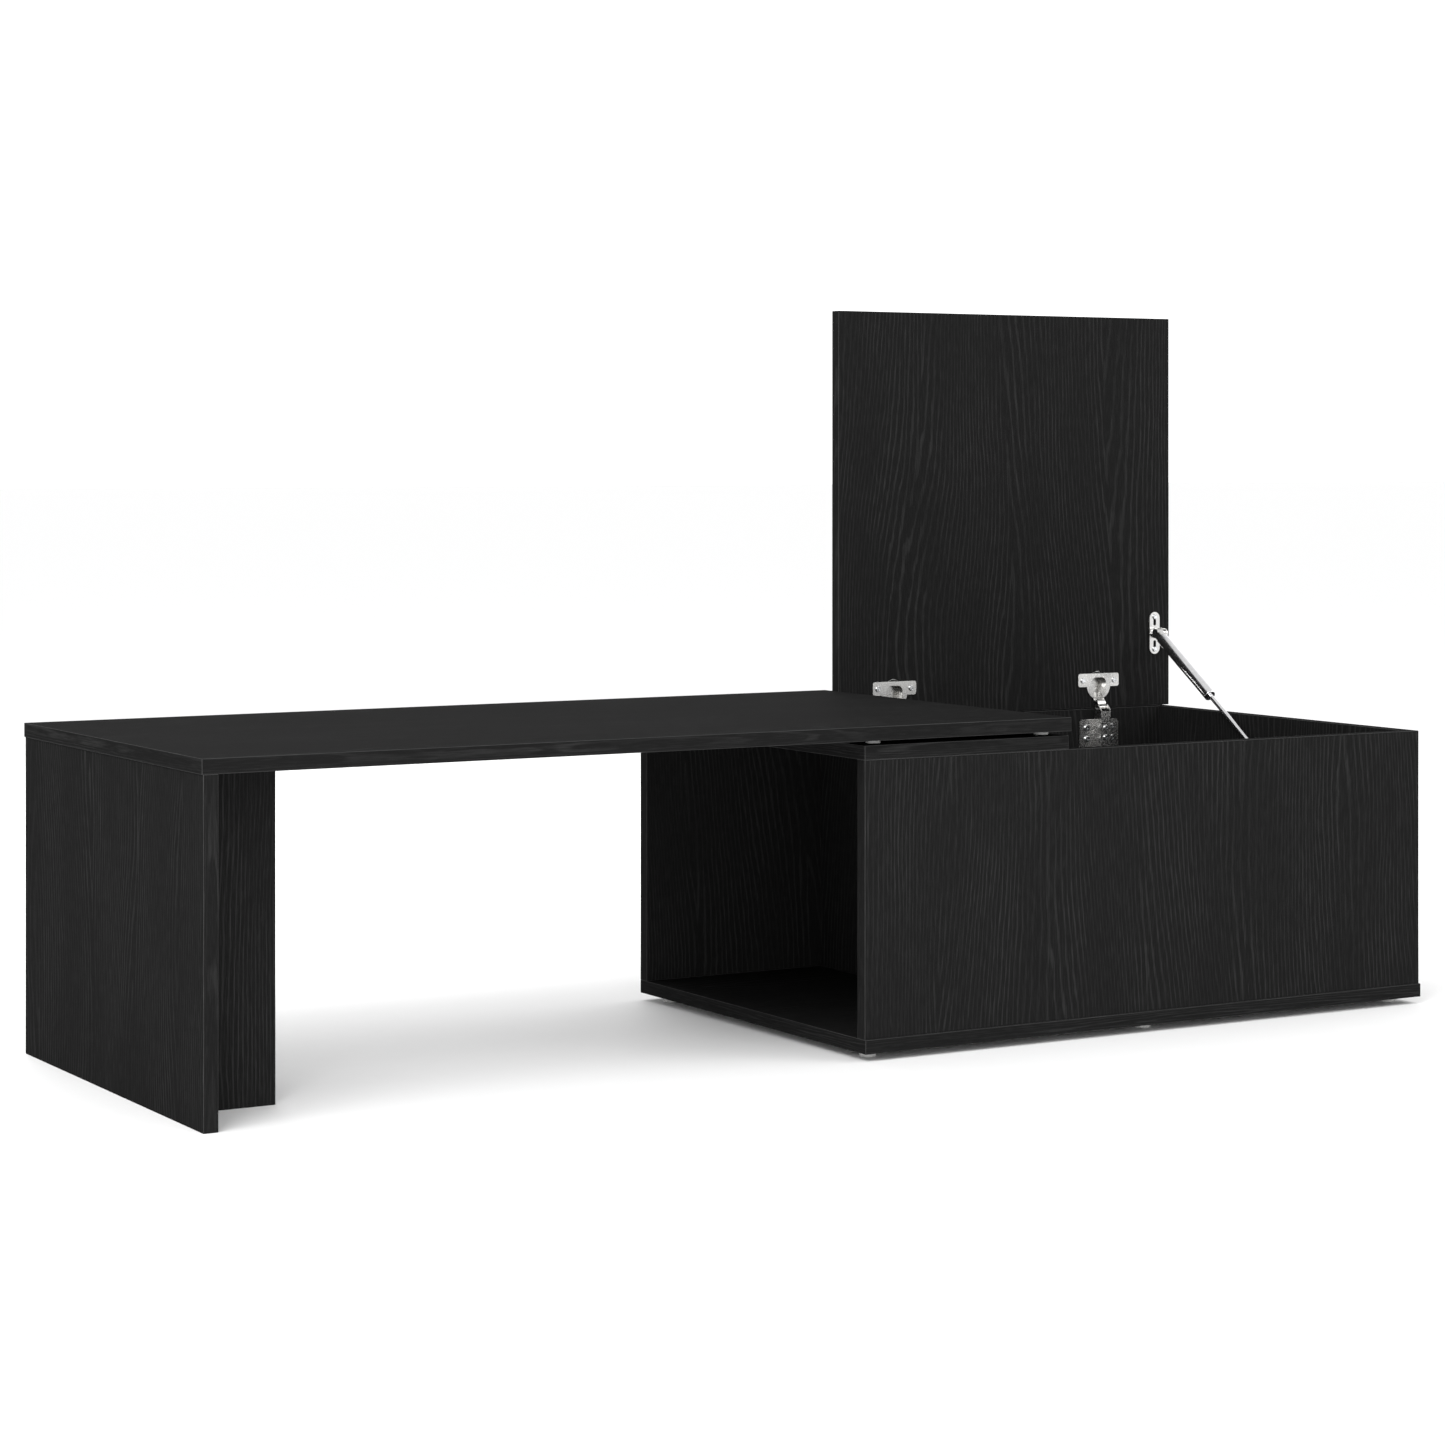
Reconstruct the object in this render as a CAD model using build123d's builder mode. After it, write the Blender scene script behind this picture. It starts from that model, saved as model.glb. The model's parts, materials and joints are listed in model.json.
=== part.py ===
from build123d import *
import math
import os

# Swivelling, extending coffee table with a lift-up lid, shown extended with the lid open.
# Frame: +X along the table towards the storage box, +Y to the back, +Z up, millimetres.
# The origin is on the floor, at the middle of the whole table's length and depth.

# ---- driving dimensions -------------------------------------------------------------
table_length = 1500.0
table_height = 350.0
board = 15.0  # thickness of every board

top_length = 1000.0
top_depth = 500.0

box_length = 762.0
box_depth = 481.0
front_overhang = 5.0  # swivel top beyond the front of the box
plinth_reveal = 1.5  # bottom board beyond the front and end boards
glide_height = 8.0
spacer_height = 5.0

leg_inset = 1.5
brace_width = 100.0
brace_setback = 100.0

divider_left = 226.0
lid_side_gap = 1.5
lid_height = 490.0
lid_lift = 1.2  # open lid's lower edge above the back board
closed_gap = 2.1  # closed lid's underside above the box
closed_setback = 0.3  # closed lid's back edge inside the box's back face

# ---- faces worked out from them -----------------------------------------------------
table_left = -table_length / 2
table_right = table_length / 2
top_front = -top_depth / 2
top_right = table_left + top_length
top_underside = table_height - board

box_left = table_right - box_length
box_right = table_right - plinth_reveal
box_front = top_front + front_overhang
box_back = box_front + box_depth
floor_top = glide_height + board
deck_top = top_underside - spacer_height
wall_top = deck_top - board

front_inner = box_front + board
back_inner = box_back - board
end_inner = box_right - board
divider_right = divider_left + board

lid_left = top_right + lid_side_gap
lid_right = box_right
lid_bottom = wall_top + lid_lift
lid_face = back_inner  # the lid's inner face, when open

pivot_x = (box_left + top_right) / 2
pivot_y = 0.0

# ---- small shared sizes -------------------------------------------------------------
running = 0.05  # radial clearance of pins in their holes
fit_gap = 0.1  # radial clearance of glued dowels and pressed cups
hole_floor = 0.2  # a screw's hole is this much deeper than the screw
rest_gap = 0.3  # parts that only slide past each other stay this far apart
shank_radius = 1.5  # chipboard screws
pilot_radius = 1.6
screw_clearance = 2.2  # radius of a screw's hole in a metal fitting
small_head = 3.6  # radius of a small screw's head
wall_bite = 12.0  # how far the plates' screws enter the back board
end_bite = 10.0  # how far the bracket's screws enter the end board
lid_bite = 11.0  # how far the fittings' screws enter the lid

os.makedirs("parts", exist_ok=True)


def save(builder, name):
    """Label a finished piece and write it as its own STEP file."""
    builder.part.label = name
    export_step(builder.part, f"parts/{name}.step")


def middle(low, high):
    return (low + high) / 2


def add_board(x_range, y_range, z_range):
    """A plain board between three pairs of faces, added to the open part."""
    sizes = [high - low for low, high in (x_range, y_range, z_range)]
    centre = [middle(low, high) for low, high in (x_range, y_range, z_range)]
    with Locations(tuple(centre)):
        Box(*sizes)


def ease_edges(radius=0.6):
    """Round every long outer edge of the open board a little, as edge banding does."""
    fillet(edges(), radius)


def drill(points, direction, radius, depth):
    """Cut round holes of one depth; direction is the way the drill goes in."""
    for point in points:
        with BuildSketch(Plane(origin=point, z_dir=direction)) as hole:
            Circle(radius)
        extrude(hole.sketch, amount=depth, mode=Mode.SUBTRACT)


def add_rod(point, direction, radius, length):
    """A plain round bar from a point, added to the open part."""
    with BuildSketch(Plane(origin=point, z_dir=direction)) as section:
        Circle(radius)
    extrude(section.sketch, amount=length)


# ---- dowels -------------------------------------------------------------------------
dowel_radius = 4.0
dowel_length = 30.0
dowel_end_gap = 1.0  # glue space past each end of a dowel
deck_bite = 10.0  # how far a dowel enters the face of a board

row_inset = 45.0  # from the front and back boards to the rows across the box
corner_inset = 60.0  # from the box's ends to the nearest dowels
left_dowels = (box_left + corner_inset, 180.0)
right_dowels = (460.0, box_right - corner_inset)
y_rows = (front_inner + row_inset, back_inner - row_inset)
mid_front = middle(box_front, front_inner)
mid_back = middle(back_inner, box_back)
mid_end = middle(end_inner, box_right)
mid_divider = middle(divider_left, divider_right)
floor_dowels = (
    [(x, y) for x in left_dowels + right_dowels for y in (mid_front, mid_back)]
    + [(mid_end, y) for y in y_rows]
    + [(mid_divider, y) for y in y_rows]
)
deck_dowels = (
    [(x, y) for x in left_dowels for y in (mid_front, mid_back)]
    + [(mid_divider, y) for y in y_rows]
)
corner_heights = (80.0, 260.0)  # dowels that join the end board to the front and back
corner_dowels = [(mid_front, z) for z in corner_heights] + [(mid_back, z) for z in corner_heights]

leg_outer = table_left + leg_inset
leg_inner = leg_outer + board
brace_right = leg_inner + brace_width
brace_rows = (
    (top_front + brace_setback, top_front + brace_setback + board),
    (-top_front - brace_setback - board, -top_front - brace_setback),
)
mid_leg = middle(leg_outer, leg_inner)
brace_dowel = 60.0  # from the leg to the dowel in each brace's top edge
brace_heights = (60.0, 180.0, 290.0)
leg_dowels = [(mid_leg, y) for y in (-200.0, -70.0, 70.0, 200.0)]
leg_dowels += [(leg_inner + brace_dowel, middle(low, high)) for low, high in brace_rows]

face_depth = deck_bite + dowel_end_gap
end_depth = dowel_length - deck_bite + dowel_end_gap
up = (0, 0, 1)
down = (0, 0, -1)
dowel_hole = dowel_radius + fit_gap

# ---- hinges, shared places ----------------------------------------------------------
hinge_centres = {"left": 331.0, "right": 637.0}
cup_centre_z = lid_bottom + 28.4
cup_radius = 17.5
cup_depth = 11.5
flange_thickness = 1.0

link_width = 12.0
ear_thickness = 1.5
ear_gap = 0.3
pocket_width = link_width + 2 * ear_gap + 2 * ear_thickness + 0.6
pocket_depth = 10.0
# The lid turns on the link pin, and the link turns on the arm pin, in one coupled move.
link_pin_y = lid_face + 0.4
link_pin_z = lid_bottom + 9.9
link_share = 2.18  # sin(half the lid's turn on the link) / sin(half the link's turn)
pocket_low = cup_centre_z - link_pin_z + 3.6
closed_y = (box_back - closed_setback + lid_bottom - (wall_top + closed_gap) + lid_face) / 2
closed_z = box_back - closed_setback + lid_bottom - closed_y
offset_y = link_pin_y - closed_y
offset_z = link_pin_z - closed_z
half_root = math.sqrt(0.5)
arm_pin_y = closed_y + link_share * half_root * (offset_y - offset_z)
arm_pin_z = closed_z + link_share * half_root * (offset_y + offset_z)

plate_width = 60.0
plate_top = 302.0
plate_bottom = 260.0
plate_thickness = 2.0
plate_head = 4.2
block_middle = 284.0  # raised block under the two arm screws
block_width = 9.0
block_height = 30.0
block_depth = 10.0
plate_screw_x = 19.0
plate_screw_z = (291.5, 277.5)
cup_screw_x = 24.0
cup_screw_z = cup_centre_z + 6.0

# ---- gas strut, shared places -------------------------------------------------------
strut_x = 720.5
strut_upper = (lid_face - 14.0, lid_bottom + 91.5)  # ball centre on the open lid
strut_length = 268.0
strut_slope = 34.6  # degrees below level
slope = math.radians(strut_slope)
strut_lower = (
    strut_upper[0] - strut_length * math.cos(slope),
    strut_upper[1] - strut_length * math.sin(slope),
)
lid_plate_x = 724.5
ear_x = 729.0
lid_plate_z = strut_upper[1]
strut_screw_spread = 20.5
wall_plate_z = strut_lower[1]

# =====================================================================================
# Storage box
# =====================================================================================
with BuildPart() as bottom_panel:
    add_board((box_left, table_right), (box_front - plinth_reveal, box_back), (glide_height, floor_top))
    ease_edges()
    drill([(x, y, floor_top) for x, y in floor_dowels], down, dowel_hole, face_depth)
save(bottom_panel, "bottom_panel")

with BuildPart() as front_panel:
    add_board((box_left, box_right), (box_front, front_inner), (floor_top, wall_top))
    ease_edges()
    drill([(x, y, floor_top) for x, y in floor_dowels if y == mid_front], up, dowel_hole, end_depth)
    drill([(x, y, wall_top) for x, y in deck_dowels if y == mid_front], down, dowel_hole, end_depth)
    drill([(mid_end, front_inner, z) for z in corner_heights], (0, -1, 0), dowel_hole, face_depth)
save(front_panel, "front_panel")

with BuildPart() as back_panel:
    add_board((box_left, box_right), (back_inner, box_back), (floor_top, wall_top))
    ease_edges()
    drill([(x, y, floor_top) for x, y in floor_dowels if y == mid_back], up, dowel_hole, end_depth)
    drill([(x, y, wall_top) for x, y in deck_dowels if y == mid_back], down, dowel_hole, end_depth)
    drill([(mid_end, back_inner, z) for z in corner_heights], (0, 1, 0), dowel_hole, face_depth)
    for hinge_x in hinge_centres.values():
        holes = [(hinge_x + s * plate_screw_x, back_inner, z) for s in (-1, 1) for z in plate_screw_z]
        drill(holes, (0, 1, 0), pilot_radius, wall_bite + hole_floor)
save(back_panel, "back_panel")

with BuildPart() as right_end_panel:
    add_board((end_inner, box_right), (front_inner, back_inner), (floor_top, wall_top))
    ease_edges()
    drill([(mid_end, y, floor_top) for y in y_rows], up, dowel_hole, end_depth)
    drill([(mid_end, front_inner, z) for z in corner_heights], (0, 1, 0), dowel_hole, end_depth)
    drill([(mid_end, back_inner, z) for z in corner_heights], (0, -1, 0), dowel_hole, end_depth)
    wall_holes = [(end_inner, strut_lower[0] + s * strut_screw_spread, wall_plate_z) for s in (-1, 1)]
    drill(wall_holes, (1, 0, 0), pilot_radius, end_bite + hole_floor)
save(right_end_panel, "right_end_panel")

with BuildPart() as divider_panel:
    add_board((divider_left, divider_right), (front_inner, back_inner), (floor_top, wall_top))
    ease_edges()
    drill([(mid_divider, y, floor_top) for y in y_rows], up, dowel_hole, end_depth)
    drill([(mid_divider, y, wall_top) for y in y_rows], down, dowel_hole, end_depth)
save(divider_panel, "divider_panel")

bushing_outer = 8.0
bushing_flange = 14.0
with BuildPart() as fixed_top_panel:
    add_board((box_left, top_right), (box_front, box_back), (wall_top, deck_top))
    ease_edges()
    drill([(x, y, wall_top) for x, y in deck_dowels], up, dowel_hole, face_depth)
    drill([(pivot_x, pivot_y, wall_top)], up, bushing_outer, board)
save(fixed_top_panel, "fixed_top_panel")

with BuildPart() as panel_dowels:
    for x, y in floor_dowels:
        add_rod((x, y, floor_top - deck_bite), up, dowel_radius, dowel_length)
    for x, y in deck_dowels:
        add_rod((x, y, wall_top + deck_bite), down, dowel_radius, dowel_length)
    for z in corner_heights:
        add_rod((mid_end, front_inner - deck_bite, z), (0, 1, 0), dowel_radius, dowel_length)
        add_rod((mid_end, back_inner + deck_bite, z), (0, -1, 0), dowel_radius, dowel_length)
save(panel_dowels, "panel_dowels")


def add_glide(x, y, z, height, radius):
    """A round plastic glide with an eased rim, standing on height z."""
    with BuildSketch(Plane((x, y, z))) as foot:
        Circle(radius)
    extrude(foot.sketch, amount=height)
    rim = edges().filter_by(GeomType.CIRCLE).filter_by_position(Axis.Z, z, z, (True, True))
    rim = [e for e in rim if abs(e.arc_center.X - x) < 1 and abs(e.arc_center.Y - y) < 1]
    chamfer(rim, 1.0)


glide_rows = (box_front + 33.0, box_back - 29.0)
glide_columns = (box_left + 25.0, 375.0, box_right - 18.0)
glide_radius = 9.0
spacer_radius = 8.0
with BuildPart() as box_glides:
    for x in glide_columns:
        for y in glide_rows:
            add_glide(x, y, 0, glide_height, glide_radius)
save(box_glides, "box_glides")

with BuildPart() as spacer_glides:
    for x in (box_left + 28.0, top_right - 17.0):
        for y in (box_front + 28.0, box_back - 28.0):
            add_rod((x, y, deck_top), up, spacer_radius, spacer_height - rest_gap)
save(spacer_glides, "spacer_glides")

# =====================================================================================
# Swivel top with its leg
# =====================================================================================
insert_radius = 6.0
insert_length = 11.0
bolt_radius = 3.95
head_height = 4.0
washer_thickness = 1.5
washer_radius = 12.0
head_radius = 7.5
hex_radius = 3.0
hex_depth = 2.8
end_wall = 0.8  # closed end of the threaded insert

with BuildPart() as swivel_top_panel:
    add_board((table_left, top_right), (top_front, -top_front), (top_underside, table_height))
    ease_edges()
    drill([(x, y, top_underside) for x, y in leg_dowels], up, dowel_hole, face_depth)
    drill([(pivot_x, pivot_y, top_underside)], up, insert_radius + fit_gap, insert_length + hole_floor)
save(swivel_top_panel, "swivel_top_panel")

with BuildPart() as leg_panel:
    add_board((leg_outer, leg_inner), (top_front, -top_front), (0, top_underside))
    ease_edges()
    drill([(x, y, top_underside) for x, y in leg_dowels if x == mid_leg], down, dowel_hole, end_depth)
    for low, high in brace_rows:
        holes = [(leg_inner, middle(low, high), z) for z in brace_heights]
        drill(holes, (-1, 0, 0), dowel_hole, face_depth)
save(leg_panel, "leg_panel")

for name, (low, high) in zip(("front_brace", "back_brace"), brace_rows):
    with BuildPart() as brace:
        add_board((leg_inner, brace_right), (low, high), (0, top_underside))
        ease_edges()
        drill([(leg_inner + brace_dowel, middle(low, high), top_underside)], down, dowel_hole, end_depth)
        drill([(leg_inner, middle(low, high), z) for z in brace_heights], (1, 0, 0), dowel_hole, end_depth)
    save(brace, name)

with BuildPart() as leg_dowel_set:
    for x, y in leg_dowels:
        add_rod((x, y, top_underside + deck_bite), down, dowel_radius, dowel_length)
    for low, high in brace_rows:
        for z in brace_heights:
            point = (leg_inner - deck_bite, middle(low, high), z)
            add_rod(point, (1, 0, 0), dowel_radius, dowel_length)
save(leg_dowel_set, "leg_dowels")

# ---- swivel pivot: bolt and insert turn with the top, the flanged bushing stays -----
flange_height = 2.0
with BuildPart() as pivot_bushing:
    with BuildSketch(Plane((pivot_x, pivot_y, wall_top - flange_height))):
        Circle(bushing_flange)
        Circle(bolt_radius + running, mode=Mode.SUBTRACT)
    extrude(amount=flange_height)
    with BuildSketch(Plane((pivot_x, pivot_y, wall_top))):
        Circle(bushing_outer - fit_gap)
        Circle(bolt_radius + running, mode=Mode.SUBTRACT)
    extrude(amount=board)
save(pivot_bushing, "pivot_bushing")

disc_radius = 30.0
with BuildPart() as pivot_slide_disc:
    with BuildSketch(Plane((pivot_x, pivot_y, deck_top))):
        Circle(disc_radius)
        Circle(bolt_radius + running, mode=Mode.SUBTRACT)
    extrude(amount=spacer_height - rest_gap)
save(pivot_slide_disc, "pivot_slide_disc")

head_top = wall_top - flange_height - washer_thickness - rest_gap
with BuildPart() as pivot_washer:
    with BuildSketch(Plane((pivot_x, pivot_y, head_top))):
        Circle(washer_radius)
        Circle(bolt_radius + fit_gap, mode=Mode.SUBTRACT)
    extrude(amount=washer_thickness)
save(pivot_washer, "pivot_washer")

with BuildPart() as pivot_bolt:
    add_rod((pivot_x, pivot_y, head_top - head_height), up, head_radius, head_height)
    chamfer(faces().sort_by(Axis.Z)[0].edges(), 1.0)
    add_rod((pivot_x, pivot_y, head_top), up, bolt_radius, top_underside + insert_length - 1 - head_top)
    with BuildSketch(Plane((pivot_x, pivot_y, head_top - head_height))):
        RegularPolygon(hex_radius, 6)
    extrude(amount=hex_depth, mode=Mode.SUBTRACT)
save(pivot_bolt, "pivot_bolt")

with BuildPart() as pivot_insert:
    with BuildSketch(Plane((pivot_x, pivot_y, top_underside))):
        Circle(insert_radius)
    extrude(amount=insert_length)
    with BuildSketch(Plane((pivot_x, pivot_y, top_underside))):
        Circle(bolt_radius + running)
    extrude(amount=insert_length - end_wall, mode=Mode.SUBTRACT)
save(pivot_insert, "pivot_insert")

# =====================================================================================
# Lid
# =====================================================================================
cup_wall = 1.0
with BuildPart() as lid_panel:
    add_board((lid_left, lid_right), (lid_face, lid_face + board), (lid_bottom, lid_bottom + lid_height))
    ease_edges()
    for hinge_x in hinge_centres.values():
        drill([(hinge_x, lid_face, cup_centre_z)], (0, 1, 0), cup_radius + fit_gap, cup_depth + hole_floor)
        screws = [(hinge_x + s * cup_screw_x, lid_face, cup_screw_z) for s in (-1, 1)]
        drill(screws, (0, 1, 0), pilot_radius, lid_bite + hole_floor)
        # pocket under the cup for its two ears and the link
        pocket_z = cup_centre_z - pocket_low / 2
        with BuildSketch(Plane(origin=(hinge_x, lid_face, pocket_z), x_dir=(1, 0, 0), z_dir=(0, 1, 0))):
            Rectangle(pocket_width, pocket_low)
        extrude(amount=pocket_depth, mode=Mode.SUBTRACT)
    screws = [(lid_plate_x, lid_face, lid_plate_z + s * strut_screw_spread) for s in (-1, 1)]
    drill(screws, (0, 1, 0), pilot_radius, lid_bite + hole_floor)
save(lid_panel, "lid_panel")

# =====================================================================================
# Concealed hinges: cup, link, arm and mounting plate, twice
# =====================================================================================
into_lid = (0, 1, 0)
flange_width = 62.5
flange_height_z = 16.5
flange_centre_z = cup_centre_z + 6.3
rim_radius = 18.0
crown_height = 5.0
crown_depth = 4.0
mouth_rise = -1.8
mouth_width = 23.0
mouth_height = 22.6
mouth_corner = 7.0
pin_radius = 1.5
arm_front = back_inner - 16.0
arm_wall = 1.5
arm_width = 15.0
arm_bottom = 262.0
arm_screw_z = (292.0, 280.0)
arm_shank = 2.0
hollow_top = 304.0
block_bore = 7.0


def side_profile(x):
    """The YZ plane at x, with its own X along +Y and its own Y along +Z."""
    return Plane(origin=(x, 0, 0), x_dir=(0, 1, 0), z_dir=(1, 0, 0))


def add_screw(point, direction, head_radius, head_thickness, shank_radius, shank_length):
    """A cross-recess pan head screw, driven along direction, its head's underside at point."""
    back_way = tuple(-c for c in direction)
    with BuildSketch(Plane(origin=point, z_dir=back_way)) as head:
        Circle(head_radius)
    extrude(head.sketch, amount=head_thickness, taper=18)
    add_rod(point, direction, shank_radius, shank_length)
    head_face = tuple(p + b * head_thickness for p, b in zip(point, back_way))
    with BuildSketch(Plane(origin=head_face, z_dir=direction)) as recess:
        Rectangle(head_radius, head_radius * 0.28)
        Rectangle(head_radius * 0.28, head_radius)
    extrude(recess.sketch, amount=head_thickness * 0.6, mode=Mode.SUBTRACT)


for side, hinge_x in hinge_centres.items():
    with BuildPart() as cup:
        front = lid_face - flange_thickness
        with BuildSketch(Plane(origin=(hinge_x, front, flange_centre_z), x_dir=(1, 0, 0), z_dir=into_lid)):
            RectangleRounded(flange_width, flange_height_z, 3.0)
        extrude(amount=flange_thickness)
        with BuildSketch(Plane(origin=(hinge_x, front, cup_centre_z), z_dir=into_lid)):
            Circle(rim_radius)
        extrude(amount=flange_thickness)
        with BuildSketch(Plane(origin=(hinge_x, lid_face, cup_centre_z), z_dir=into_lid)):
            Circle(cup_radius)
        extrude(amount=cup_depth)
        with BuildSketch(Plane(origin=(hinge_x, lid_face, cup_centre_z), z_dir=into_lid)):
            Circle(cup_radius - cup_wall)
        extrude(amount=cup_depth - cup_wall, mode=Mode.SUBTRACT)
        # arched mouth through the front plate
        mouth = Plane(origin=(hinge_x, front, cup_centre_z + mouth_rise), x_dir=(1, 0, 0), z_dir=into_lid)
        with BuildSketch(mouth):
            RectangleRounded(mouth_width, mouth_height, mouth_corner)
        extrude(amount=flange_thickness, mode=Mode.SUBTRACT)
        # the cup and its rim are cut level with the flange's top edge
        crown = Plane(origin=(hinge_x, front, flange_centre_z + flange_height_z / 2 + crown_height / 2),
                      x_dir=(1, 0, 0), z_dir=into_lid)
        with BuildSketch(crown):
            Rectangle(2 * rim_radius, crown_height)
        extrude(amount=flange_thickness + crown_depth, mode=Mode.SUBTRACT)
        # slot through the cup's rim and wall where the link swings
        channel = link_width + 2 * ear_gap
        with BuildSketch(side_profile(hinge_x - channel / 2)):
            with Locations((lid_face + 3.0, cup_centre_z - 14.0)):
                Rectangle(12.0, 20.0)
        extrude(amount=channel, mode=Mode.SUBTRACT)
        # ears that carry the link pin
        for s in (-1, 1):
            inner = link_width / 2 + ear_gap
            x_ear = hinge_x + s * (inner + ear_thickness / 2) - ear_thickness / 2
            with BuildSketch(side_profile(x_ear)):
                with Locations((link_pin_y, link_pin_z)):
                    Circle(2.4)
                with Locations((lid_face + 4.5, link_pin_z + 4.0)):
                    Rectangle(8.0, 9.0)
            extrude(amount=ear_thickness)
        pin_length = link_width + 2 * ear_gap + 2 * ear_thickness
        add_rod((hinge_x - pin_length / 2, link_pin_y, link_pin_z), (1, 0, 0), pin_radius, pin_length)
        holes = [(hinge_x + s * cup_screw_x, front, cup_screw_z) for s in (-1, 1)]
        drill(holes, into_lid, screw_clearance, flange_thickness)
    save(cup, f"hinge_cup_{side}")

    with BuildPart() as link:
        with BuildSketch(side_profile(hinge_x - link_width / 2)):
            with BuildLine():
                bow = (middle(arm_pin_y, link_pin_y) - 3.2, middle(arm_pin_z, link_pin_z) + 2.6)
                ThreePointArc((arm_pin_y, arm_pin_z), bow, (link_pin_y, link_pin_z))
            trace(line_width=1.8)
            with Locations((arm_pin_y, arm_pin_z), (link_pin_y, link_pin_z)):
                Circle(2.2)
        extrude(amount=link_width)
        for y, z in ((arm_pin_y, arm_pin_z), (link_pin_y, link_pin_z)):
            drill([(hinge_x - link_width / 2, y, z)], (1, 0, 0), pin_radius + running, link_width)
    save(link, f"hinge_link_{side}")

    with BuildPart() as arm:
        with BuildSketch(side_profile(hinge_x - arm_width / 2)):
            with BuildLine():
                Polyline(
                    (arm_front, arm_bottom),
                    (arm_front, arm_pin_z - 3),
                    (arm_pin_y - 4.0, arm_pin_z + 3.2),
                    (arm_pin_y + 2.4, arm_pin_z + 3.2),
                    (arm_pin_y + 2.4, arm_pin_z - 3),
                    (back_inner - plate_thickness, plate_top),
                    (back_inner - plate_thickness, arm_bottom),
                    close=True,
                )
            make_face()
        extrude(amount=arm_width)
        # hollow underneath, and a slot at the tip where the link swings
        channel = link_width + 2 * ear_gap
        with BuildSketch(side_profile(hinge_x - channel / 2)):
            with BuildLine():
                Polyline(
                    (arm_front + arm_wall, arm_bottom),
                    (arm_front + arm_wall, hollow_top),
                    (back_inner, hollow_top),
                    (back_inner, arm_bottom),
                    close=True,
                )
            make_face()
            with Locations((arm_pin_y, arm_pin_z + 2)):
                Rectangle(22.0, 14.0)
        extrude(amount=channel, mode=Mode.SUBTRACT)
        add_rod((hinge_x - arm_width / 2, arm_pin_y, arm_pin_z), (1, 0, 0), pin_radius, arm_width)
        drill([(hinge_x, arm_front, z) for z in arm_screw_z], (0, 1, 0), 3.1, arm_wall)
    save(arm, f"hinge_arm_{side}")

    with BuildPart() as plate:
        face_y = back_inner - plate_thickness
        centre_z = middle(plate_bottom, plate_top)
        with BuildSketch(Plane(origin=(hinge_x, face_y, centre_z), x_dir=(1, 0, 0), z_dir=into_lid)):
            RectangleRounded(plate_width, plate_top - plate_bottom, 4.5)
        extrude(amount=plate_thickness)
        # raised block inside the arm that the two arm screws grip
        with BuildSketch(Plane(origin=(hinge_x, face_y, block_middle), x_dir=(1, 0, 0), z_dir=(0, -1, 0))):
            Rectangle(block_width, block_height)
        extrude(amount=block_depth)
        holes = [(hinge_x + s * plate_screw_x, face_y, z) for s in (-1, 1) for z in plate_screw_z]
        drill(holes, into_lid, screw_clearance, plate_thickness)
        block_holes = [(hinge_x, face_y - block_depth, z) for z in arm_screw_z]
        drill(block_holes, into_lid, arm_shank + fit_gap, block_bore)
    save(plate, f"hinge_plate_{side}")

with BuildPart() as cup_screws:
    for hinge_x in hinge_centres.values():
        for s in (-1, 1):
            point = (hinge_x + s * cup_screw_x, lid_face - flange_thickness, cup_screw_z)
            add_screw(point, into_lid, small_head, 1.6, shank_radius, lid_bite + flange_thickness)
save(cup_screws, "cup_screws")

with BuildPart() as plate_screws:
    for hinge_x in hinge_centres.values():
        for s in (-1, 1):
            for z in plate_screw_z:
                point = (hinge_x + s * plate_screw_x, back_inner - plate_thickness, z)
                add_screw(point, into_lid, plate_head, 2.2, shank_radius, plate_thickness + wall_bite - 0.5)
save(plate_screws, "plate_screws")

with BuildPart() as arm_screws:
    for hinge_x in hinge_centres.values():
        for z in arm_screw_z:
            add_screw((hinge_x, arm_front, z), into_lid, small_head, 1.8, arm_shank, 9.0)
save(arm_screws, "arm_screws")

# =====================================================================================
# Gas strut
# =====================================================================================
along = (0.0, math.cos(slope), math.sin(slope))  # from the lower ball up to the lid's ball
back_along = tuple(-c for c in along)
tube_radius = 7.5
tube_bore = 6.3
rod_radius = 3.0
socket_radius = 6.0
socket_depth = 9.0
ball_radius = 4.0
tube_end = 128.0  # from the lid's ball to the tube's lower end
socket_neck = 10.0
bracket_thickness = 2.0
bracket_length = 53.0
bracket_width = 15.6


def strut_point(distance):
    """A point on the strut's line, at a distance down from the lid's ball."""
    return tuple(p - a * distance for p, a in zip((strut_x, *strut_upper), along))


def socket_mouth(ball):
    """Where the blind hole of a socket begins; it runs out of the socket towards +X."""
    return (ball[0] - socket_depth / 2 + 1.5, ball[1], ball[2])


def stud_tip(ball):
    return (ball[0] - socket_depth / 2 + 2.0, ball[1], ball[2])


def add_socket(ball, toward):
    """A strut end: a short barrel across the strut with a neck along it."""
    width = socket_radius * 2
    add_rod((ball[0] - socket_depth / 2, ball[1], ball[2]), (1, 0, 0), socket_radius, socket_depth)
    with BuildSketch(Plane(origin=ball, x_dir=(1, 0, 0), z_dir=toward)) as neck:
        RectangleRounded(socket_depth, width - 1.0, 1.5)
    extrude(neck.sketch, amount=socket_neck)


cap_thickness = 2.5
lip = 2.0
gland_length = 6.0
piston_length = 3.8
with BuildPart() as strut_tube:
    add_rod(strut_point(socket_neck), back_along, tube_radius, tube_end - socket_neck)
    fillet(edges().filter_by(GeomType.CIRCLE), 1.2)
    bore_top = socket_neck + cap_thickness
    with BuildSketch(Plane(origin=strut_point(bore_top), z_dir=back_along)):
        Circle(tube_bore)
    extrude(amount=tube_end - bore_top - lip, mode=Mode.SUBTRACT)
    with BuildSketch(Plane(origin=strut_point(tube_end - lip), z_dir=back_along)):
        Circle(rod_radius + 0.35)
    extrude(amount=lip, mode=Mode.SUBTRACT)
save(strut_tube, "strut_tube")

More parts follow.
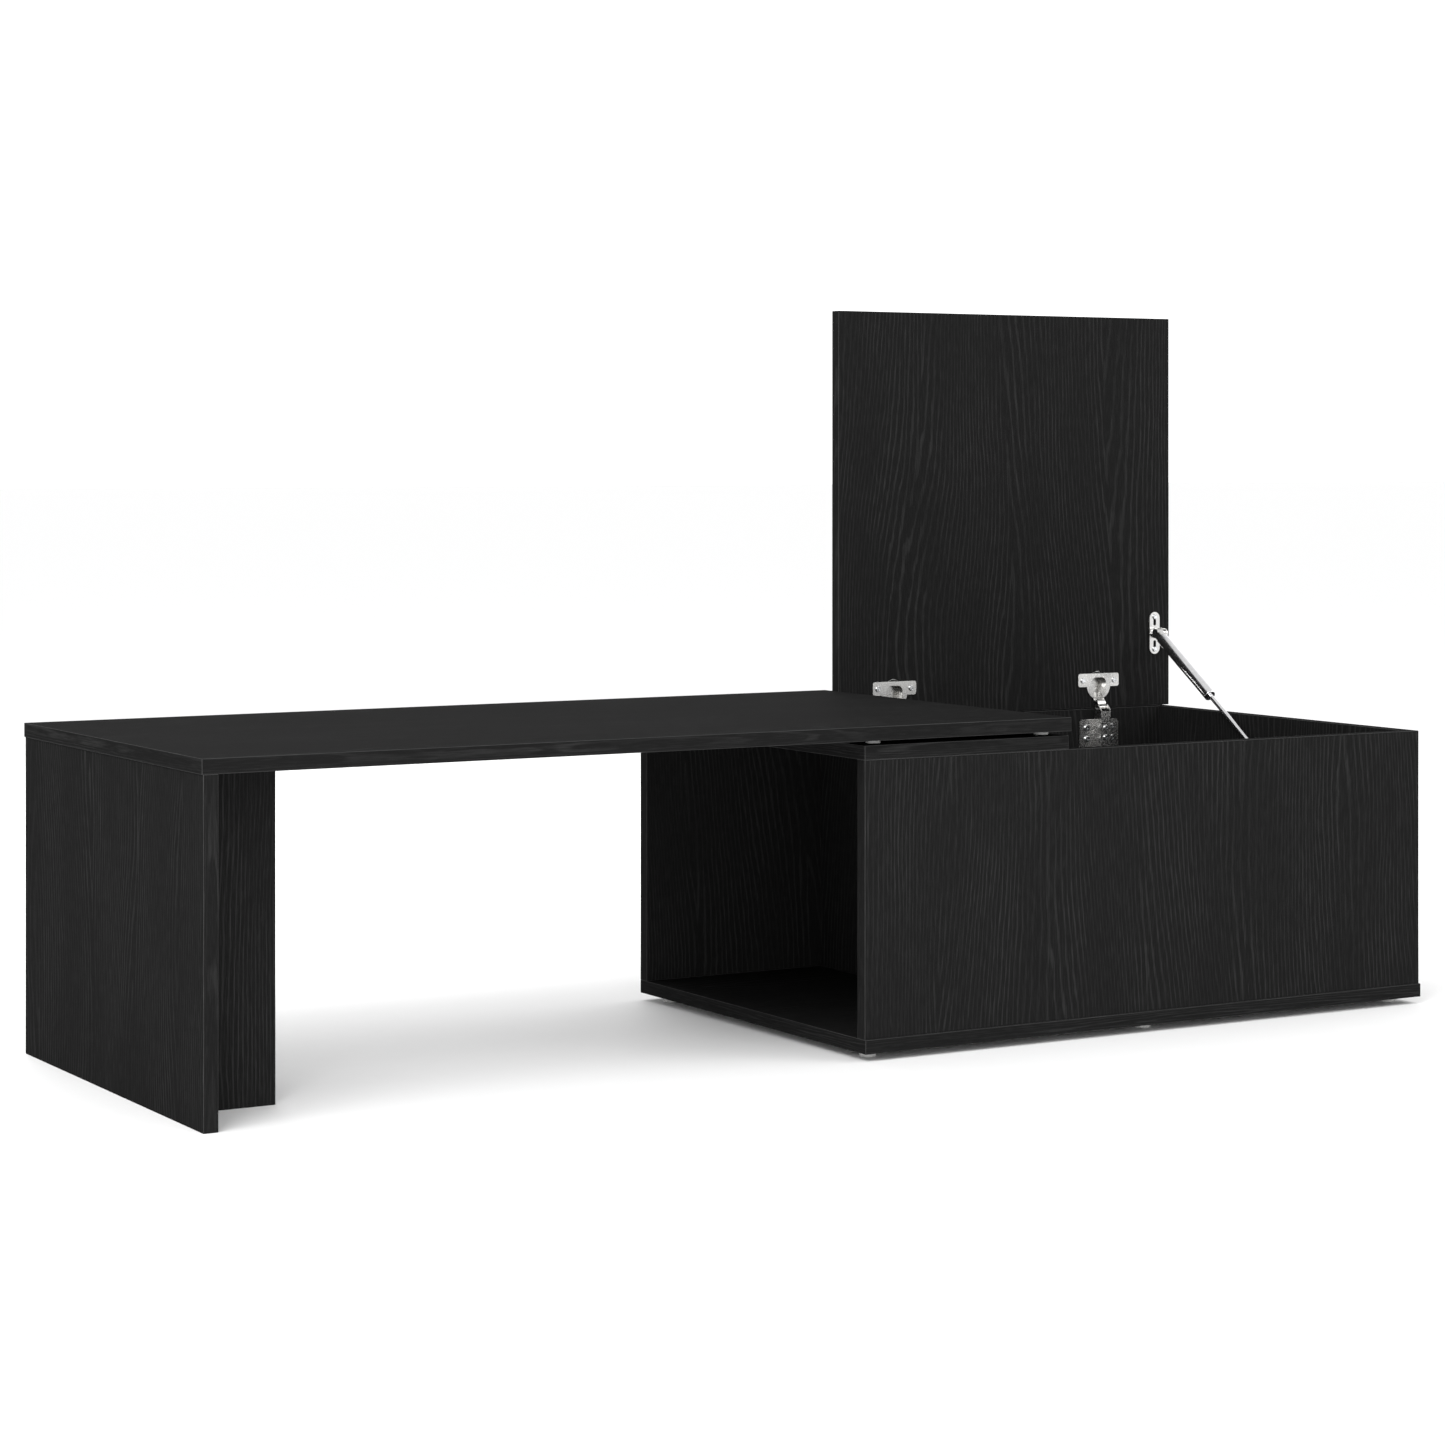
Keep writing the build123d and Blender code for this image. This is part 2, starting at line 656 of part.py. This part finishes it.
with BuildPart() as strut_gland:
    with BuildSketch(Plane(origin=strut_point(tube_end - lip - gland_length), z_dir=back_along)):
        Circle(tube_bore - running)
        Circle(rod_radius + running, mode=Mode.SUBTRACT)
    extrude(amount=gland_length)
save(strut_gland, "strut_gland")

with BuildPart() as strut_upper_socket:
    upper_ball = (strut_x, *strut_upper)
    add_socket(upper_ball, back_along)
    drill([socket_mouth(upper_ball)], (1, 0, 0), ball_radius + running, socket_depth)
save(strut_upper_socket, "strut_upper_socket")

rod_top = tube_end - lip - gland_length - 0.1
lower_ball = (strut_x, *strut_lower)
with BuildPart() as strut_rod:
    add_rod(strut_point(rod_top), back_along, rod_radius, strut_length - rod_top - socket_neck)
save(strut_rod, "strut_rod")

with BuildPart() as strut_piston:
    add_rod(strut_point(rod_top - piston_length), back_along, tube_bore - 0.1, piston_length)
save(strut_piston, "strut_piston")

with BuildPart() as strut_lower_socket:
    add_socket(lower_ball, along)
    drill([socket_mouth(lower_ball)], (1, 0, 0), ball_radius + running, socket_depth)
save(strut_lower_socket, "strut_lower_socket")

# the stud stays in the socket and stops just short of the bracket on the end board
collar_height = 2.0
wall_plate_x = end_inner - bracket_thickness
with BuildPart() as strut_lower_stud:
    start = stud_tip(lower_ball)
    add_rod(start, (1, 0, 0), ball_radius, wall_plate_x - collar_height - rest_gap - start[0])
save(strut_lower_stud, "strut_lower_stud")

with BuildPart() as strut_wall_bracket:
    centre = (wall_plate_x, strut_lower[0], wall_plate_z)
    with BuildSketch(Plane(origin=centre, x_dir=(0, 1, 0), z_dir=(1, 0, 0))):
        SlotOverall(bracket_length, bracket_width)
    extrude(amount=bracket_thickness)
    add_rod(centre, (-1, 0, 0), 5.5, collar_height)
    holes = [(wall_plate_x, strut_lower[0] + s * strut_screw_spread, wall_plate_z) for s in (-1, 1)]
    drill(holes, (1, 0, 0), screw_clearance, bracket_thickness)
save(strut_wall_bracket, "strut_wall_bracket")

with BuildPart() as strut_wall_screws:
    for s in (-1, 1):
        point = (wall_plate_x, strut_lower[0] + s * strut_screw_spread, wall_plate_z)
        add_screw(point, (1, 0, 0), small_head, 1.8, shank_radius, bracket_thickness + end_bite - 1)
save(strut_wall_screws, "strut_wall_screws")

# bracket on the lid: an oblong plate with two slots and a raised dome at its middle
with BuildPart() as strut_lid_bracket:
    plate_y = lid_face - bracket_thickness
    with BuildSketch(Plane(origin=(lid_plate_x, plate_y, lid_plate_z), x_dir=(0, 0, 1), z_dir=into_lid)):
        SlotOverall(bracket_length, bracket_width)
    extrude(amount=bracket_thickness)
    for s in (-1, 1):
        slot_z = lid_plate_z + s * 16.0
        with BuildSketch(Plane(origin=(lid_plate_x, plate_y, slot_z), x_dir=(0, 0, 1), z_dir=into_lid)):
            SlotOverall(13.5, 4.2)
        extrude(amount=bracket_thickness, mode=Mode.SUBTRACT)
    add_rod((lid_plate_x, plate_y, lid_plate_z), (0, -1, 0), 6.8, 2.6)
    fillet(faces().sort_by(Axis.Y)[0].edges(), 1.8)
    with BuildSketch(side_profile(ear_x)):
        with Locations(strut_upper):
            Circle(6.5)
        with Locations((middle(strut_upper[0], plate_y), strut_upper[1])):
            Rectangle(plate_y - strut_upper[0], 13.0)
    extrude(amount=2.0)
    stud = stud_tip(upper_ball)
    add_rod(stud, (1, 0, 0), ball_radius, ear_x - stud[0])
save(strut_lid_bracket, "strut_lid_bracket")

with BuildPart() as strut_lid_screws:
    for s in (-1, 1):
        point = (lid_plate_x, lid_face - bracket_thickness, lid_plate_z + s * strut_screw_spread)
        add_screw(point, into_lid, small_head, 1.8, shank_radius, bracket_thickness + lid_bite - 0.5)
save(strut_lid_screws, "strut_lid_screws")
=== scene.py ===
"""The looks of a coffee table with a swivelling top and a storage box whose lid stands open.

Metres, +Z up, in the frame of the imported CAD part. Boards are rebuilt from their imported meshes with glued
edge bands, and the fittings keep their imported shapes. Every finish is procedural.
"""

import json
import math

import bmesh
import bpy
import numpy as np
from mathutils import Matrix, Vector

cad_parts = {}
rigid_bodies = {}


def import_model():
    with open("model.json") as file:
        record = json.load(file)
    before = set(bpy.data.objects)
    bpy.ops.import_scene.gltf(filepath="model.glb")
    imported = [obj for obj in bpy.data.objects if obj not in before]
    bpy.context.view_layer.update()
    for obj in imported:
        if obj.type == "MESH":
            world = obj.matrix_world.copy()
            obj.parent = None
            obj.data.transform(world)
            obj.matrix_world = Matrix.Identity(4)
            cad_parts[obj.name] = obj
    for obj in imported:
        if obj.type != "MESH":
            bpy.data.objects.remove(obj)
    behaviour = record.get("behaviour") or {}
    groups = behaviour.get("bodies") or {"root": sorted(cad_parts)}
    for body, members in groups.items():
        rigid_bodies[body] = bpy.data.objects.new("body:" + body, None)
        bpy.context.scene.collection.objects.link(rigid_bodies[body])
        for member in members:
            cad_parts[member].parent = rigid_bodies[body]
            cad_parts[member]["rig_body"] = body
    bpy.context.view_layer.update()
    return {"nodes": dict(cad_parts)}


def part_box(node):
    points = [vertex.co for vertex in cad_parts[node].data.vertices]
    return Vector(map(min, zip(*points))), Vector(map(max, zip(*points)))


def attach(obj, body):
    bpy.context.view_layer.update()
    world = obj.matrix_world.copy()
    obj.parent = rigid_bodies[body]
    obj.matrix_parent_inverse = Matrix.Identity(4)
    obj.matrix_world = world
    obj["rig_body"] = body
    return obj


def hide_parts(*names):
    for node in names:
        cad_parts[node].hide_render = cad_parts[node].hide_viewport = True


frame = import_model()
NODES = frame["nodes"]
MM = 0.001

# Camera: level, in front of the table and to its left, with its lens shifted down to frame the table.
CAMERA_PLACE = (-1.9520, -3.2495, 0.6328)
CAMERA_YAW = 30.471
CAMERA_LENS = 85.415
CAMERA_SHIFT = -0.1849

# Edge bands: a strip glued to each edge of a board, with a hairline seam beside it.
BAND_THICKNESS = 1.0 * MM
SEAM_WIDTH = 0.25 * MM
SEAM_DEPTH = 0.15 * MM
CORNER_LIMIT = 0.995  # a face that leans more than this from the axes lies on a rounded corner, which is coloured lighter as a painted highlight
FLAT_LIMIT = 0.99
WELD = 1e-6
FACE, BAND, CORNER = 0, 1, 2  # a board's materials: face, edge band, and a lighter corner wood that is a painted highlight

# Steps that give every face of every board its own stretch of grain.
FACE_STEP = 0.37
FAR_STEP = 0.71
BOARD_STEP = 1.3
SEED_STEP = 2.37

X, Y, Z = 0, 1, 2

# Each board: the way its thickness points, the way its grain runs, and its share of the grain pattern.
BOARDS = {
    "bottom_panel": (Z, X, 1),
    "front_panel": (Y, Z, 2),
    "back_panel": (Y, Z, 3),
    "right_end_panel": (X, Z, 4),
    "divider_panel": (X, Z, 5),
    "fixed_top_panel": (Z, Y, 6),
    "swivel_top_panel": (Z, X, 7),
    "leg_panel": (X, Z, 8),
    "front_brace": (Y, Z, 9),
    "back_brace": (Y, Z, 10),
    "lid_panel": (Y, Z, 11),
}


# ---------------------------------------------------------------- materials

class Shader:
    """A material's node tree, built one short line at a time."""

    def __init__(self, name):
        self.material = bpy.data.materials.new(name)
        self.material.use_nodes = True
        self.tree = self.material.node_tree
        self.tree.nodes.clear()
        self.surface = self.add("ShaderNodeBsdfPrincipled")
        output = self.add("ShaderNodeOutputMaterial")
        self.tree.links.new(self.surface.outputs["BSDF"], output.inputs["Surface"])

    def add(self, kind, **settings):
        made = self.tree.nodes.new(kind)
        for key, value in settings.items():
            setattr(made, key, value)
        return made

    def feed(self, socket, value):
        if isinstance(value, bpy.types.NodeSocket):
            self.tree.links.new(value, socket)
        elif value is not None:
            socket.default_value = value

    def maths(self, operation, a, b=None, c=None, clamp=False):
        made = self.add("ShaderNodeMath", operation=operation, use_clamp=clamp)
        for socket, value in zip(made.inputs, (a, b, c)):
            self.feed(socket, value)
        return made.outputs[0]

    def stretch(self, vector, scale):
        made = self.add("ShaderNodeVectorMath", operation="MULTIPLY")
        self.feed(made.inputs[0], vector)
        made.inputs[1].default_value = scale
        return made.outputs[0]

    def noise(self, vector, scale=1.0, detail=2.0, roughness=0.5):
        made = self.add("ShaderNodeTexNoise")
        self.feed(made.inputs["Vector"], vector)
        made.inputs["Scale"].default_value = scale
        made.inputs["Detail"].default_value = detail
        made.inputs["Roughness"].default_value = roughness
        return made.outputs["Fac"]

    def remap(self, value, old_low, old_high, new_low, new_high):
        made = self.add("ShaderNodeMapRange", interpolation_type="SMOOTHSTEP")
        for socket, number in zip(made.inputs, (value, old_low, old_high, new_low, new_high)):
            self.feed(socket, number)
        return made.outputs[0]

    def mix(self, share, dark, light):
        made = self.add("ShaderNodeMix", data_type="RGBA")
        self.feed(made.inputs["Factor"], share)
        made.inputs["A"].default_value = (*dark, 1)
        made.inputs["B"].default_value = (*light, 1)
        return made.outputs["Result"]

    def place(self):
        return self.add("ShaderNodeTexCoord").outputs["Object"]

    def bump(self, height, distance, strength=1.0):
        made = self.add("ShaderNodeBump")
        self.feed(made.inputs["Height"], height)
        made.inputs["Distance"].default_value = distance
        made.inputs["Strength"].default_value = strength
        self.tree.links.new(made.outputs["Normal"], self.surface.inputs["Normal"])

    def set(self, **values):
        for key, value in values.items():
            self.feed(self.surface.inputs[key.replace("_", " ")], value)


# Grain. Scales are along the grain, across it, and between boards, in turns per metre.
SHEEN = 0.0013  # specular level: the laminate is almost without gloss
DRIFT_SCALE = (1.1, 3.0, 1)  # how fast the arches' centre lines wander
SWELL = -0.34  # spreads the lines at an arch's centre and closes them up between arches
FOLD = 0.999  # where the pattern turns back on itself
PULL_SCALE = (1.6, 1.2, 1)
PULL_RINGS = 15.0  # rings that the figure crosses as it runs along a board
WOBBLE_SCALE = (14, 70, 1)
WOBBLE_RINGS = 1.1
LINE_EDGE = 0.25  # a ring's line starts at this height of its wave
FIBRE_SCALE = (30, 900, 1)
PORE_SCALE = (55, 1100, 1)
PORE_SHARE = 0.26
PATCH_SCALE = (5, 16, 1)


def ring_lines(shader, grain, wander, arches, rings):
    """Close lines along the grain that fold back at each arch."""
    parts = shader.add("ShaderNodeSeparateXYZ")
    shader.feed(parts.inputs[0], grain)
    drift = shader.noise(shader.stretch(grain, DRIFT_SCALE), detail=1.5)
    across = shader.maths("MULTIPLY_ADD", parts.outputs["Y"], arches, shader.maths("MULTIPLY", drift, wander))
    swell = shader.maths("COSINE", shader.maths("MULTIPLY", across, math.pi))
    fold = shader.maths("MULTIPLY_ADD", swell, SWELL, shader.maths("PINGPONG", across, FOLD))
    pull = shader.noise(shader.stretch(grain, PULL_SCALE), detail=1.0)
    wobble = shader.noise(shader.stretch(grain, WOBBLE_SCALE), detail=3)
    turns = shader.maths("MULTIPLY_ADD", fold, rings, shader.maths("MULTIPLY", pull, PULL_RINGS))
    turns = shader.maths("MULTIPLY_ADD", wobble, WOBBLE_RINGS, turns)
    wave = shader.maths("SINE", shader.maths("MULTIPLY", turns, math.tau))
    return shader.remap(wave, LINE_EDGE, 1.0, 0.0, 1.0)


def wood_grain(name, dark, light, figure, relief):
    """Black laminate printed and embossed with flat-sawn grain; figure is its wander, arches and rings."""
    shader = Shader(name)
    grain = shader.add("ShaderNodeAttribute", attribute_name="grain").outputs["Vector"]
    line = ring_lines(shader, grain, *figure)
    fibre = shader.noise(shader.stretch(grain, FIBRE_SCALE), detail=3, roughness=0.6)
    broken = shader.remap(fibre, 0.38, 0.62, 0.3, 1.0)
    specks = shader.noise(shader.stretch(grain, PORE_SCALE), detail=1)
    pores = shader.remap(specks, 0.48, 0.66, 0.0, 1.0)
    cloud = shader.noise(shader.stretch(grain, PATCH_SCALE), detail=2)
    patch = shader.remap(cloud, 0.35, 0.65, 0.3, 1.0)
    raised = shader.maths("MULTIPLY", shader.maths("MULTIPLY", line, broken), patch)
    raised = shader.maths("MULTIPLY_ADD", pores, PORE_SHARE, raised, clamp=True)
    shader.set(
        Base_Color=shader.mix(raised, dark, light),
        Roughness=shader.remap(raised, 0.0, 1.0, 0.72, 0.88),
        Specular_IOR_Level=SHEEN,
    )
    shader.bump(raised, relief)
    return shader.material


def moulded_plastic(name, dark, light, roughness, texture):
    """Moulded plastic with a fine spark-eroded texture and a faint flow marbling."""
    shader = Shader(name)
    place = shader.place()
    marbling = shader.noise(place, scale=180, detail=3)
    grit = shader.noise(place, scale=texture, detail=2)
    shader.set(
        Base_Color=shader.mix(marbling, dark, light),
        Roughness=shader.remap(grit, 0.3, 0.7, roughness - 0.06, roughness + 0.08),
        Specular_IOR_Level=0.45,
    )
    shader.bump(grit, 0.04 * MM)
    return shader.material


def plated_metal(name, dark, light, roughness, spread):
    """Plated steel: cloudy plating, fine rubbing marks and small dents."""
    shader = Shader(name)
    place = shader.place()
    cloud = shader.noise(place, scale=260, detail=3)
    rubbing = shader.noise(place, scale=900, detail=3)
    shader.set(
        Base_Color=shader.mix(cloud, dark, light),
        Metallic=1.0,
        Roughness=shader.remap(rubbing, 0.3, 0.7, roughness, roughness + spread),
    )
    shader.bump(rubbing, 0.006 * MM)
    return shader.material


def beech():
    """Turned beech with small dark flecks, for the dowels inside the joints."""
    shader = Shader("beech_wood")
    place = shader.place()
    grain = shader.noise(place, scale=420, detail=4)
    flecks = shader.remap(shader.noise(place, scale=1300, detail=1), 0.6, 0.7, 0.0, 1.0)
    tone = shader.maths("ADD", grain, shader.maths("MULTIPLY", flecks, -0.35), clamp=True)
    shader.set(
        Base_Color=shader.mix(tone, (0.36, 0.20, 0.10), (0.66, 0.44, 0.26)),
        Roughness=0.62,
    )
    shader.bump(grain, 0.05 * MM)
    return shader.material


FACE_WOOD = wood_grain("black_wood_face", (0.0102,) * 3, (0.0245,) * 3, (1.3, 7.0, 13), 0.15 * MM)
BAND_WOOD = wood_grain("black_wood_band", (0.0100,) * 3, (0.0225,) * 3, (0.6, 60.0, 4), 0.08 * MM)
# The corner wood is far lighter than the faces: a painted highlight along the rounded edges of every board.
CORNER_HIGHLIGHT_WOOD = wood_grain("black_wood_corner_painted_highlight", (0.034,) * 3, (0.058,) * 3, (0.6, 60.0, 4), 0.05 * MM)
FINISHES = {
    "beech_dowel": beech(),
    "grey_plastic": moulded_plastic("grey_moulded", (0.55, 0.55, 0.54), (0.66, 0.66, 0.65), 0.42, 2600),
    "black_plastic": moulded_plastic("black_moulded", (0.011,) * 3, (0.017,) * 3, 0.38, 2600),
    "zinc_screw": plated_metal("zinc_plate", (0.56, 0.57, 0.58), (0.72, 0.73, 0.74), 0.15, 0.14),
    "strut_chrome": plated_metal("chrome_plate", (0.70, 0.70, 0.71), (0.84, 0.84, 0.85), 0.10, 0.10),
    "nickel_fitting": plated_metal("nickel_plate", (0.56, 0.555, 0.545), (0.72, 0.715, 0.70), 0.17, 0.15),
}


# ---------------------------------------------------------------- boards

def cut_seams(bm, lo, hi, thin):
    """Cuts a hairline groove round both faces of a board, one band's thickness in from its edges."""
    flat = [axis for axis in (X, Y, Z) if axis != thin]
    strips = []
    for axis in flat:
        inner = lo[axis] + BAND_THICKNESS
        outer = hi[axis] - BAND_THICKNESS
        strips.append((axis, inner, inner + SEAM_WIDTH))
        strips.append((axis, outer - SEAM_WIDTH, outer))
    for axis, start, end in strips:
        normal = Vector((0, 0, 0))
        normal[axis] = 1
        for place in (start, end):
            point = Vector((0, 0, 0))
            point[axis] = place
            geometry = bm.verts[:] + bm.edges[:] + bm.faces[:]
            bmesh.ops.bisect_plane(bm, geom=geometry, dist=WELD, plane_co=point, plane_no=normal)

    def in_seam(face):
        if abs(face.normal[thin]) < FLAT_LIMIT:
            return False
        centre = face.calc_center_median()
        within = all(lo[a] + BAND_THICKNESS < centre[a] < hi[a] - BAND_THICKNESS for a in flat)
        on_surface = min(centre[thin] - lo[thin], hi[thin] - centre[thin]) < SEAM_DEPTH
        return within and on_surface and any(start < centre[a] < end for a, start, end in strips)

    seam = [face for face in bm.faces if in_seam(face)]
    made = bmesh.ops.extrude_face_region(bm, geom=seam)["geom"]
    bmesh.ops.delete(bm, geom=[face for face in seam if face.is_valid], context="FACES_ONLY")
    middle = (lo[thin] + hi[thin]) / 2
    for vertex in (v for v in made if isinstance(v, bmesh.types.BMVert)):
        vertex.co[thin] += SEAM_DEPTH if vertex.co[thin] < middle else -SEAM_DEPTH


def lay_grain(mesh, lo, hi, thin, grain, seed):
    """Stores where each corner lies in the grain: along it, across it, and which board it is."""
    flat = [axis for axis in (X, Y, Z) if axis != thin]
    across = flat[1] if flat[0] == grain else flat[0]
    pattern = mesh.attributes.new("grain", "FLOAT_VECTOR", "CORNER")
    values = np.zeros((len(mesh.loops), 3), np.float32)
    low, high = np.array(lo), np.array(hi)
    for face in mesh.polygons:
        normal = np.abs(np.array(face.normal))
        axis = int(normal.argmax())
        centre = np.array(face.center)
        on_face = axis == thin
        near = min(min(centre[a] - low[a], high[a] - centre[a]) for a in flat)
        if on_face:
            along, side = grain, across
        else:
            along = flat[1] if axis == flat[0] else flat[0]
            side = thin
        face.material_index = FACE if on_face and near > BAND_THICKNESS else BAND
        # Faces on the rounded corners take the lighter corner wood, a painted highlight.
        if normal.max() < CORNER_LIMIT:
            face.material_index = CORNER
        face.use_smooth = False
        shift = FACE_STEP * axis + (0.0 if centre[axis] > (low[axis] + high[axis]) / 2 else FAR_STEP)
        for loop in face.loop_indices:
            corner = mesh.vertices[mesh.loops[loop].vertex_index].co
            values[loop] = (corner[along] + shift, corner[side] + BOARD_STEP * seed + shift, seed * SEED_STEP)
    pattern.data.foreach_set("vector", values.ravel())


def make_board(node, thin, grain, seed):
    lo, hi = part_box(node)
    bm = bmesh.new()
    bm.from_mesh(NODES[node].data)
    bmesh.ops.remove_doubles(bm, verts=bm.verts, dist=WELD)
    cut_seams(bm, lo, hi, thin)
    bm.normal_update()
    mesh = bpy.data.meshes.new(node + "_laminate")
    bm.to_mesh(mesh)
    bm.free()
    lay_grain(mesh, lo, hi, thin, grain, seed)
    for wood in (FACE_WOOD, BAND_WOOD, CORNER_HIGHLIGHT_WOOD):
        mesh.materials.append(wood)
    board = bpy.data.objects.new(node + "_laminate", mesh)
    bpy.context.scene.collection.objects.link(board)
    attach(board, NODES[node]["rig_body"])
    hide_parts(node)


for board_name, (thin_way, grain_way, share) in BOARDS.items():
    make_board(board_name, thin_way, grain_way, share)


# ---------------------------------------------------------------- fittings

def finish_fitting(name):
    """Gives a packed fitting its finish, by the slot that it already has."""
    for holder in NODES[name].material_slots:
        found = next((s for s in FINISHES if s in holder.material.name), None)
        if found:
            holder.material = FINISHES[found]


for node_name in NODES:
    if node_name not in BOARDS:
        finish_fitting(node_name)


# ---------------------------------------------------------------- floor, light and camera

FLOOR_REACH = 60.0
SENSOR_WIDTH = 36
FAR_CLIP = 200
LOW_SKY, HIGH_SKY = 0.25, 0.9  # heights between which the room's brightness falls
LOW_LIGHT, HIGH_LIGHT = 1.45, 0.85

# Softboxes: place, target, width, height, watts.
SOFTBOXES = {
    "key": ((-2.6, -1.6, 3.2), (0, 0, 0.3), 2.2, 2.2, 95),
    "low": ((-1.3, -2.3, 0.34), (0.12, 0.1, 0.12), 1.0, 0.4, 13),
    "fill": ((2.8, -2.6, 2.2), (0.3, 0, 0.3), 1.8, 1.8, 25),
    "back": ((0.6, 3.0, 2.6), (0, 0, 0.4), 2.4, 1.4, 60),
}


def add_floor():
    """A pale floor, large enough to reach the horizon."""
    reach = FLOOR_REACH
    mesh = bpy.data.meshes.new("floor")
    corners = [(-reach, -reach, 0), (reach, -reach, 0), (reach, reach, 0), (-reach, reach, 0)]
    mesh.from_pydata(corners, [], [(0, 1, 2, 3)])
    shader = Shader("pale_floor")
    speckle = shader.noise(shader.place(), scale=40, detail=3)
    shader.set(
        Base_Color=shader.mix(speckle, (0.91, 0.91, 0.91), (0.93, 0.93, 0.93)),
        Roughness=0.9,
        Specular_IOR_Level=0.1,
    )
    mesh.materials.append(shader.material)
    floor = bpy.data.objects.new("floor", mesh)
    bpy.context.scene.collection.objects.link(floor)


def add_softbox(name, place, target, width, height, power):
    lamp = bpy.data.lights.new(name, "AREA")
    lamp.shape = "RECTANGLE"
    lamp.size = width
    lamp.size_y = height
    lamp.energy = power
    holder = bpy.data.objects.new(name, lamp)
    holder.location = place
    holder.rotation_euler = (Vector(target) - Vector(place)).to_track_quat("-Z", "Y").to_euler()
    bpy.context.scene.collection.objects.link(holder)


def add_sky():
    """A white room: bright near the horizon and dimmer overhead, so that metal has something to reflect."""
    world = bpy.data.worlds.new("studio")
    bpy.context.scene.world = world
    world.use_nodes = True
    tree = world.node_tree
    tree.nodes.clear()
    place = tree.nodes.new("ShaderNodeTexCoord")
    split = tree.nodes.new("ShaderNodeSeparateXYZ")
    ramp = tree.nodes.new("ShaderNodeMapRange")
    sky = tree.nodes.new("ShaderNodeBackground")
    output = tree.nodes.new("ShaderNodeOutputWorld")
    tree.links.new(place.outputs["Generated"], split.inputs[0])
    tree.links.new(split.outputs["Z"], ramp.inputs["Value"])
    ramp.inputs["From Min"].default_value = LOW_SKY
    ramp.inputs["From Max"].default_value = HIGH_SKY
    ramp.inputs["To Min"].default_value = LOW_LIGHT
    ramp.inputs["To Max"].default_value = HIGH_LIGHT
    tree.links.new(ramp.outputs[0], sky.inputs["Strength"])
    tree.links.new(sky.outputs[0], output.inputs["Surface"])
    sky.inputs["Color"].default_value = (1, 1, 1, 1)


def add_camera():
    lens = bpy.data.cameras.new("camera")
    lens.lens = CAMERA_LENS
    lens.sensor_width = SENSOR_WIDTH
    lens.shift_y = CAMERA_SHIFT
    lens.clip_end = FAR_CLIP
    holder = bpy.data.objects.new("camera", lens)
    holder.location = CAMERA_PLACE
    holder.rotation_euler = (math.radians(90), 0, -math.radians(CAMERA_YAW))
    bpy.context.scene.collection.objects.link(holder)
    bpy.context.scene.camera = holder


add_floor()
add_sky()
for box_name, box_setting in SOFTBOXES.items():
    add_softbox(box_name, *box_setting)
add_camera()
bpy.context.scene.view_settings.view_transform = "Standard"
